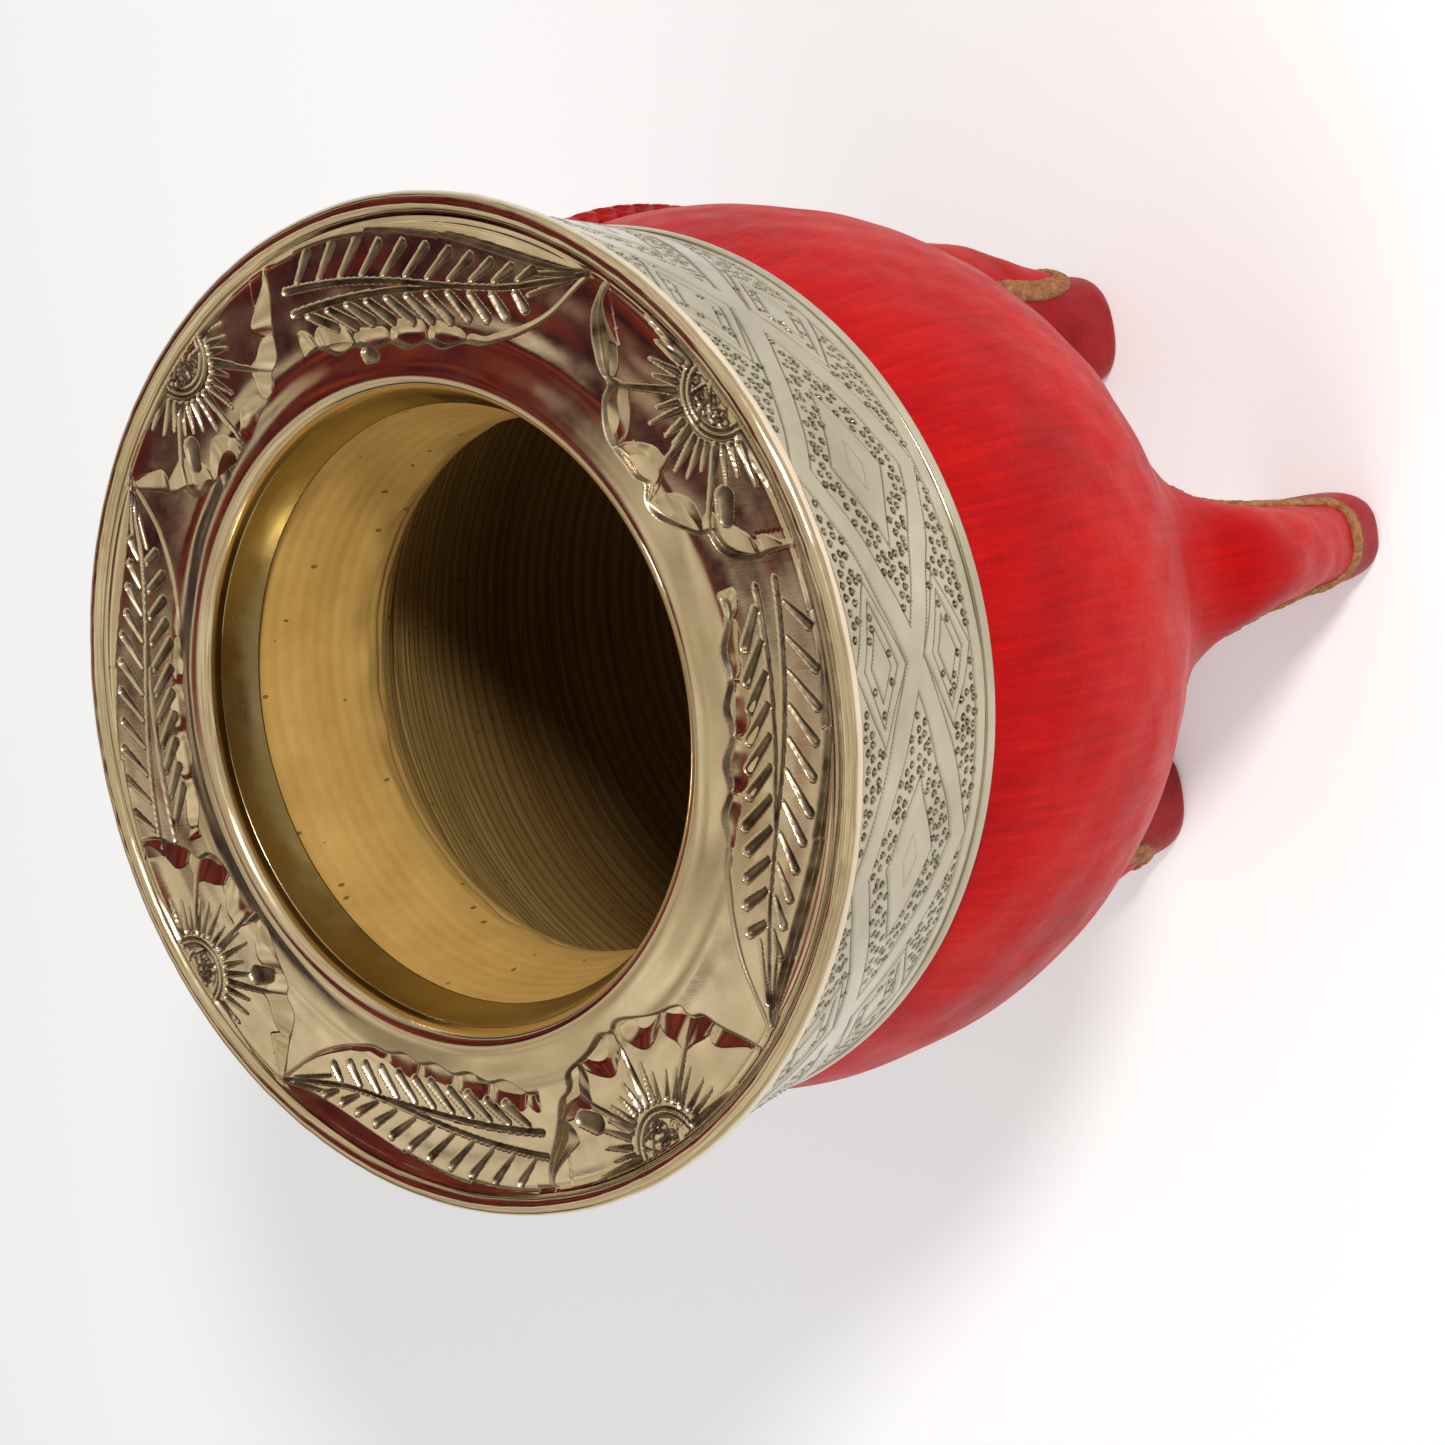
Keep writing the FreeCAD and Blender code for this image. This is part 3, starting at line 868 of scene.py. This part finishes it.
def build_gourd():
    """Hollow gourd: thin uneven rim, smooth scraped neck, turned rings below it."""
    inner = through([(27.7, 115.4), (27.2, 114.0), (26.7, 112.4), (26.2, 110.0), (25.2, 105.0),
                     (24.55, 101.5), (24.75, 99.0), (26.6, 95.8), (30.2, 91.0), (34.6, 82.0),
                     (36.3, 72.0), (34.7, 60.0), (28.7, 48.0), (17.4, 40.7), (8.0, 39.0),
                     (0.6, 38.65)], 900)
    inner = inner[np.unique(np.round(899 * np.linspace(0, 1, 248) ** 1.4).astype(int))]
    outer = through([(2.0, 34.3), (17.0, 36.4), (30.5, 45.2), (37.5, 57.0), (40.7, 75.5),
                     (39.4, 87.0), (33.2, 101.5), (31.2, 113.0), (30.9, 115.3)], 28)
    cols = 360
    angle = turns(cols)
    slope = np.gradient(inner, axis=0)
    normal = unit(np.stack([-slope[:, 1], slope[:, 0]], -1))
    along = arc_length(inner)
    a, s = np.meshgrid(angle, along)
    wander = 0.5 * round_noise(a, 7, s * 0.12, 51)
    turned = np.sin((s + wander) * 2 * np.pi / RING_PITCH)
    turned = turned + 0.6 * round_noise(a, 5, (s + wander) * 1.9, 52)
    below = clamp((NECK_Z - inner[:, 1]) / 1.5)[:, None]
    faint = 0.15
    rings = 0.14 * turned * (below + faint * (1 - below))
    lumps = 0.14 * round_noise(a, 22, s * 0.25, 53)
    edge = bell(inner[:, 1] - NECK_Z, 1.6)[:, None]
    lumps += edge * 0.22 * round_noise(a, 46, s * 0.6, 54)
    shift = rings + lumps * clamp(along / 4)[:, None]
    r = np.maximum(inner[:, :1] + shift * normal[:, :1], 0.3)
    z = inner[:, 1:] + shift * normal[:, 1:]
    points = np.concatenate([around(r, z, cols), around(outer[:, 0], outer[:, 1], cols)])
    ring_piece("scraped_gourd", points, GOURD, "gourd", "gourd_shell")


# --- leather over body and legs

def body_distance(p):
    """Roughly the distance to the outside of the body, mm; negative inside."""
    r = np.hypot(p[:, 0], p[:, 1])
    dz = p[:, 2] - BODY_Z
    half = np.where(dz > 0, BODY_UP, BODY_DOWN)
    power = np.where(dz > 0, 2.0, BODY_POWER)
    size = (r / BODY_R) ** power + (np.abs(dz) / half) ** power
    size = np.maximum(size, 1e-6) ** (1 / power)
    return np.hypot(r, dz) * (1 - 1 / size)


SECTION_CURVE = through(LEG_SECTIONS, 200)


def leg_local(p, azimuth):
    """Points in the frame of the leg at azimuth; with the angle's sign changed, back again."""
    c, s = math.cos(azimuth), math.sin(azimuth)
    return np.stack([p[:, 0] * c + p[:, 1] * s, -p[:, 0] * s + p[:, 1] * c, p[:, 2]], -1)


def leg_distance(q):
    """The same for one leg, in its own frame: x along its reach, y across it."""
    z = np.clip(q[:, 2], 0, LEG_SECTIONS[-1, 0])
    inner, outer, half = (np.interp(z, SECTION_CURVE[:, 0], SECTION_CURVE[:, k]) for k in (1, 2, 3))
    reach = (outer - inner) / 2
    size = (np.abs(q[:, 0] - (outer + inner) / 2) / reach) ** LEG_POWER
    size = size + (np.abs(q[:, 1]) / half) ** LEG_POWER
    size = np.maximum(size, 1e-6) ** (1 / LEG_POWER)
    side = (size - 1) * np.minimum(reach, half)
    return np.maximum(side, np.maximum(-q[:, 2], q[:, 2] - LEG_SECTIONS[-1, 0]))


def lumps(p):
    """Hand-made unevenness of the leather surface, mm."""
    x, y, z = p.T
    return (0.10 * np.sin(x * 0.31 + 1.3) * np.sin(y * 0.27 + 0.4) * np.sin(z * 0.23 + 2.0)
            + 0.07 * np.sin(x * 0.71 + y * 0.53 + 0.7) * np.sin(z * 0.61 - y * 0.35 + 1.1))


FILLET = 7.5
LEATHER_THICK = 1.0
NET_STEP = 0.8


def leather_distance(p):
    """Body and legs in one, with the leather drawn tight across the hollows between them."""
    d = body_distance(p)
    for azimuth in LEG_AZIMUTHS:
        leg = leg_distance(leg_local(p, azimuth))
        blend = clamp(0.5 + 0.5 * (leg - d) / FILLET)
        d = leg * (1 - blend) + d * blend - FILLET * blend * (1 - blend)
    return d + lumps(p)


def gradient(field, p):
    e = 0.02
    slopes = [(field(p + e * axis) - field(p - e * axis)) / (2 * e) for axis in np.eye(3)]
    return np.stack(slopes, -1)


def settle(field, p, rounds):
    """Moves points onto field = 0."""
    for _ in range(rounds):
        g = gradient(field, p)
        step = field(p)[:, None] * g / np.maximum((g ** 2).sum(1), 0.05)[:, None]
        p = p - np.clip(step, -1.0, 1.0)
    return p


def surface_nets(field, low, high, step):
    """Quad mesh of field = 0 inside a box."""
    axes = [np.arange(l, h + step, step) for l, h in zip(low, high)]
    grid = np.stack(np.meshgrid(*axes, indexing="ij"), -1)
    shape = grid.shape[:3]
    inside = (field(grid.reshape(-1, 3)) < 0).reshape(shape)
    nx, ny, nz = shape
    count = sum(inside[i:nx - 1 + i, j:ny - 1 + j, k:nz - 1 + k].astype(np.int8)
                for i in (0, 1) for j in (0, 1) for k in (0, 1))
    mixed = (count > 0) & (count < 8)
    cells = np.argwhere(mixed)
    index = np.full(mixed.shape, -1)
    index[mixed] = np.arange(len(cells))
    points = np.array(low) + (cells + 0.5) * step
    ways = np.eye(3, dtype=int)
    quads = []
    for axis in range(3):
        u, v = ways[(axis + 1) % 3], ways[(axis + 2) % 3]
        core = [slice(1, -1)] * 3
        core[axis] = slice(None)
        block = inside[tuple(core)]
        crossing = np.argwhere(np.diff(block.astype(np.int8), axis=axis))
        flip = block[tuple(crossing.T)]
        quad = np.stack([index[tuple((crossing + cell).T)] for cell in (u + v, v, 0 * u, u)], -1)
        quad[~flip] = quad[~flip][:, ::-1]
        quads.append(quad)
    return points, np.concatenate(quads)


def relax(points, quads, rounds):
    """Evens out the mesh by moving each point toward its neighbours' mean."""
    edges = np.concatenate([quads[:, [k, (k + 1) % 4]] for k in range(4)])
    degree = np.bincount(edges.ravel(), minlength=len(points))[:, None]
    for _ in range(rounds):
        total = [np.bincount(edges[:, 0], x[edges[:, 1]], len(x))
                 + np.bincount(edges[:, 1], x[edges[:, 0]], len(x)) for x in points.T]
        points = points + 0.5 * (np.transpose(total) / np.maximum(degree, 1) - points)
    return points


def behind_edge(q):
    """Signed distance in a leg's frame from the line where its outer leather ends; positive
    is under and behind the line."""
    best = np.full(len(q), 1e9)
    sign = np.ones(len(q))
    for a, b in zip(EDGE_LINE[:-1], EDGE_LINE[1:]):
        d = b - a
        px = q[:, 0] - a[0]
        pz = q[:, 2] - a[1]
        t = clamp((px * d[0] + pz * d[1]) / (d @ d))
        away = np.hypot(px - t * d[0], pz - t * d[1])
        cross = d[0] * pz - d[1] * px
        closer = away < best
        best = np.where(closer, away, best)
        sign = np.where(closer, np.sign(cross), sign)
    return best * sign


def part_mesh(name, points, quads, keep):
    """New piece from some of the quads."""
    used = np.unique(quads[keep])
    renumber = np.full(len(points), -1)
    renumber[used] = np.arange(len(used))
    return make_mesh(name, points[used], renumber[quads[keep]])


def thicken(piece):
    solid = piece.modifiers.new("thickness", "SOLIDIFY")
    solid.thickness = LEATHER_THICK * MM
    solid.offset = -1
    solid.use_rim = True


def build_leather():
    low = (-BODY_R - 1.5, -BODY_R - 1.5, -1.2)
    high = (BODY_R + 1.5, BODY_R + 1.5, COVER_TOP_Z + 1.0)
    points, quads = surface_nets(leather_distance, low, high, NET_STEP)
    points = settle(leather_distance, points, 3)
    for _ in range(2):
        points = relax(points, quads, 2)
        points = settle(leather_distance, points, 2)
    points[:, 2] = np.maximum(points[:, 2], 0.0)
    middle = points[quads].mean(1)
    local = [leg_local(middle, azimuth) for azimuth in LEG_AZIMUTHS]
    nearest = np.argmax([q[:, 0] for q in local], 0)
    lining = np.zeros(len(quads), bool)
    for k, q in enumerate(local):
        under = (behind_edge(q) > 0) & (nearest == k) & (q[:, 2] < 44) & (np.abs(q[:, 1]) < 12)
        under &= body_distance(middle) > 0.9
        lining |= under
        piece = part_mesh(f"leg_lining_{k + 1}_leather", points, quads, under)
        thicken(piece)
        finish_piece(piece, RED_DARK, "red_leather", f"leg_lining_{k + 1}")
    body = ~lining & (middle[:, 2] < COVER_TOP_Z - 0.5)
    cover = part_mesh("leather_cover", points, quads, body)
    thicken(cover)
    finish_piece(cover, RED, "red_leather", "body_cover", *[f"leg_cover_{k + 1}" for k in range(4)])


def edge_path(azimuth):
    """The line where cover and lining meet, round one leg, on the leather's surface."""
    line = resample(EDGE_LINE[:8], 160)
    r, z = line[:, 0], line[:, 1] - 0.8

    def place(t):
        return leg_local(np.stack([r, t, z], -1), -azimuth)

    low = np.zeros(len(r))
    high = np.full(len(r), 14.0)
    inside_leg = leather_distance(place(low)) <= 0
    for _ in range(24):
        middle = (low + high) / 2
        inside = leather_distance(place(middle)) < 0
        low = np.where(inside, middle, low)
        high = np.where(inside, high, middle)
    at_body = inside_leg & (body_distance(place(low)) < 0.6)
    on_leg = inside_leg & (np.cumsum(at_body) == 0)
    flank = np.stack([r, low, z], -1)[on_leg]
    mirrored = flank[::-1] * np.array([1, -1, 1])
    return resample(np.concatenate([mirrored, flank]), 260)


def build_tube(name, path, side, out, across, up, mat, slot, node):
    """Closed tube along a path: its section's points lie across along side and up along out,
    both (points of the path, points of the section)."""
    path, side, out = (rows[:, None, :] for rows in (path, side, out))
    points = path + across[..., None] * side + up[..., None] * out
    piece = grid_piece(name, points)
    close_ends(piece, points.shape[1])
    finish_piece(piece, mat, slot, node)


def build_edges():
    for k, azimuth in enumerate(LEG_AZIMUTHS):
        path = edge_path(azimuth)
        for _ in range(6):
            path[1:-1] = 0.25 * path[:-2] + 0.5 * path[1:-1] + 0.25 * path[2:]
        world = settle(leather_distance, leg_local(path, -azimuth), 3)
        out = unit(gradient(leather_distance, world))
        along = unit(np.gradient(world, axis=0))
        side = np.cross(along, out)
        t, l = np.meshgrid(turns(16), np.arange(len(world)) * 0.45)
        fray = 0.10 * lattice_noise(l * 2.3, t * 1.6, 80 + k)
        fray += 0.09 * lattice_noise(l * 0.7, t, 90 + k)
        across = (1.20 + fray) * squarish(np.cos(t), 0.75)
        up = (0.48 + fray * 0.8) * squarish(np.sin(t), 0.75)
        build_tube(f"raw_edge_{k + 1}", world, side, out, across, up, RAW_EDGE,
                   "raw_leather_edge", f"leg_edge_{k + 1}")


def close_ends(piece, count):
    """Adds the two end faces of a tube whose rings have count points."""
    shape = bmesh.new()
    shape.from_mesh(piece.data)
    shape.verts.ensure_lookup_table()
    last = len(shape.verts)
    shape.faces.new([shape.verts[i] for i in reversed(range(count))])
    shape.faces.new([shape.verts[last - count + i] for i in range(count)])
    shape.normal_update()
    shape.to_mesh(piece.data)
    shape.free()


PATCH_R = 15.7


def build_patch():
    """Round leather patch that closes the underside."""
    cols = 220
    r = np.append(np.linspace(0.05, PATCH_R - 0.6, 26), [PATCH_R - 0.25, PATCH_R - 0.05, PATCH_R])
    body = BODY_Z - BODY_DOWN * (1 - (r / BODY_R) ** BODY_POWER) ** (1 / BODY_POWER)
    thick = np.append(np.full(26, 0.45), [0.38, 0.2, -0.3])
    a, reach = np.meshgrid(turns(cols), r)
    low = (body - thick)[:, None] + 0.08 * round_noise(a, 9, reach * 0.3, 61)
    low = np.maximum(low, patch_low[2] - 0.5)
    top = (body + 0.9)[::-1]
    points = np.concatenate([around(r, low, cols), around(r[::-1], top, cols)])
    ring_piece("base_patch_leather", points[::-1], RED_DARK, "red_leather", "base_patch")


LACE_AZIMUTH = math.radians(4.0)
LACE_PITCH = 8.6
STRANDS = 3


def build_lace():
    """Flat three-strand braid that laces the cover together up the side."""
    low, high = lace_low[2] + 0.8, lace_high[2] + 4.5
    z = low + (high - low) * np.linspace(0, 1, 420)
    for k in range(STRANDS):
        phase = (z - low) / LACE_PITCH * 2 * np.pi + 2 * np.pi * k / STRANDS
        sway = 1.65 * np.sin(phase)
        lift = 0.50 + 0.48 * np.cos(2 * phase)
        radius = np.array([body_radius_at(h) for h in z]) + lift
        spin = LACE_AZIMUTH + sway / BAND_MEAN_R
        path = polar(radius, spin, z)
        along = unit(np.gradient(path, axis=0))
        out = polar(1.0, spin, 0 * spin)
        side = unit(np.cross(along, out))
        out = np.cross(side, along)
        turn = turns(14)[None, :]
        across = 0.80 * squarish(np.cos(turn), 0.6)
        up = 0.50 * squarish(np.sin(turn), 0.8)
        build_tube(f"lace_strand_{k + 1}", path, side, out, across, up, RED_DARK,
                   "red_leather", "seam_lace")


def body_radius_at(z):
    half, power = (BODY_UP, 2.0) if z > BODY_Z else (BODY_DOWN, BODY_POWER)
    return BODY_R * (1 - (abs(z - BODY_Z) / half) ** power) ** (1 / power)


# --- stage, light and camera

def build_floor():
    size = 3.0 / MM
    points = np.array([[(x, y, 0) for x in (-size, size)] for y in (-size, size)])
    floor = grid_piece("floor", points, wrap_cols=False)
    floor.data.materials.append(floor_material())


def area_light(name, place, target, size, power, colour, mirrored):
    light = bpy.data.lights.new(name, "AREA")
    light.shape = "DISK"
    light.size = size
    light.energy = power
    light.color = colour
    lamp = add_object(name, light)
    lamp.location = place
    lamp.rotation_mode = "QUATERNION"
    lamp.rotation_quaternion = (Vector(target) - Vector(place)).to_track_quat("-Z", "Y")
    lamp.visible_glossy = mirrored


def build_world():
    """Pale studio to the camera; in reflections, cream walls with a dark red one on one side."""
    world = bpy.data.worlds.new("studio")
    bpy.context.scene.world = world
    world.use_nodes = True
    n = Nodes(world)
    way = n.add("ShaderNodeTexCoord").outputs["Generated"]
    x, y, z = n.split(way)

    def fade(value, start, end):
        return n.remap(value, start, end, 0.0, 1.0, interpolation_type="SMOOTHSTEP")

    def less(a, b):
        return n.math("SUBTRACT", a, b)

    turn = n.math("ARCTAN2", y, x)
    sweep = n.math("ADD", turn, n.times(z, -0.10))
    right = less(1.0, fade(sweep, math.radians(89.5), math.radians(91.5)))
    behind = fade(turn, math.radians(15), math.radians(35))
    tall = n.times(fade(z, 0.30, 0.42), less(1.0, fade(z, 0.88, 0.93)))
    wine = n.times(n.times(right, behind), tall)
    wine_colour = n.ramp(n.noise(way, 7.5, 3.0, 0.6),
                         [(0.38, (0.022, 0.008, 0.014)), (0.50, (0.115, 0.016, 0.020)),
                          (0.64, (0.27, 0.050, 0.022))])
    cream = n.ramp(n.noise(way, 4.5, 3.0, 0.55),
                   [(0.32, (0.34, 0.29, 0.20)), (0.52, (0.62, 0.55, 0.41)),
                    (0.68, (0.92, 0.86, 0.72))])
    from_line = n.math("ABSOLUTE", less(z, 0.16))
    dark_low = n.times(fade(y, 0.35, 0.6), less(1.0, fade(from_line, 0.07, 0.13)))
    room = n.mix(dark_low, cream, (0.045, 0.030, 0.032))
    room = n.mix(wine, room, wine_colour)
    ray = n.add("ShaderNodeLightPath").outputs
    colour = n.mix(ray["Is Glossy Ray"], (0.38, 0.38, 0.38), room)
    colour = n.mix(ray["Is Camera Ray"], colour, (0.98, 0.98, 0.98))
    background = n.add("ShaderNodeBackground", {"Color": colour, "Strength": 1.0})
    bpy.context.scene.view_settings.view_transform = "Standard"
    n.add("ShaderNodeOutputWorld", {"Surface": background.outputs[0]})


def build_lights():
    area_light("key", (0.27, -0.385, 0.49), (0.0, 0.0, 0.08), 0.09, 2.3, (1.0, 0.99, 0.97), True)
    area_light("fill", (-0.45, -0.05, 0.60), (0.0, 0.0, 0.06), 0.50, 1.3, (1.0, 1.0, 1.0), False)


CAMERA_PLACE = Vector((12.3, -166.3, 288.7)) * MM
CAMERA_WAY = Vector((-0.0707, 0.6194, -0.7819))
CAMERA_UP = Vector((0.985, -0.0802, -0.1526))
CAMERA_LENS = 69.45


def build_camera():
    camera = bpy.data.cameras.new("camera")
    camera.sensor_width = 36
    camera.lens = CAMERA_LENS
    camera.clip_start = 0.01
    holder = add_object("camera", camera)
    back = -CAMERA_WAY.normalized()
    right = CAMERA_UP.cross(back).normalized()
    turned = Matrix((right, back.cross(right), back)).transposed().to_4x4()
    holder.matrix_world = Matrix.Translation(CAMERA_PLACE) @ turned
    bpy.context.scene.camera = holder


build_camera()
build_floor()
build_world()
build_lights()
build_flange()
build_rim()
build_lip()
build_throat()
build_band()
build_bead()
build_gourd()
build_leather()
build_edges()
build_patch()
build_lace()
for k in range(4):
    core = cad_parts[f"leg_core_{k + 1}"]
    core.data.materials.clear()
    core.data.materials.append(WOOD)
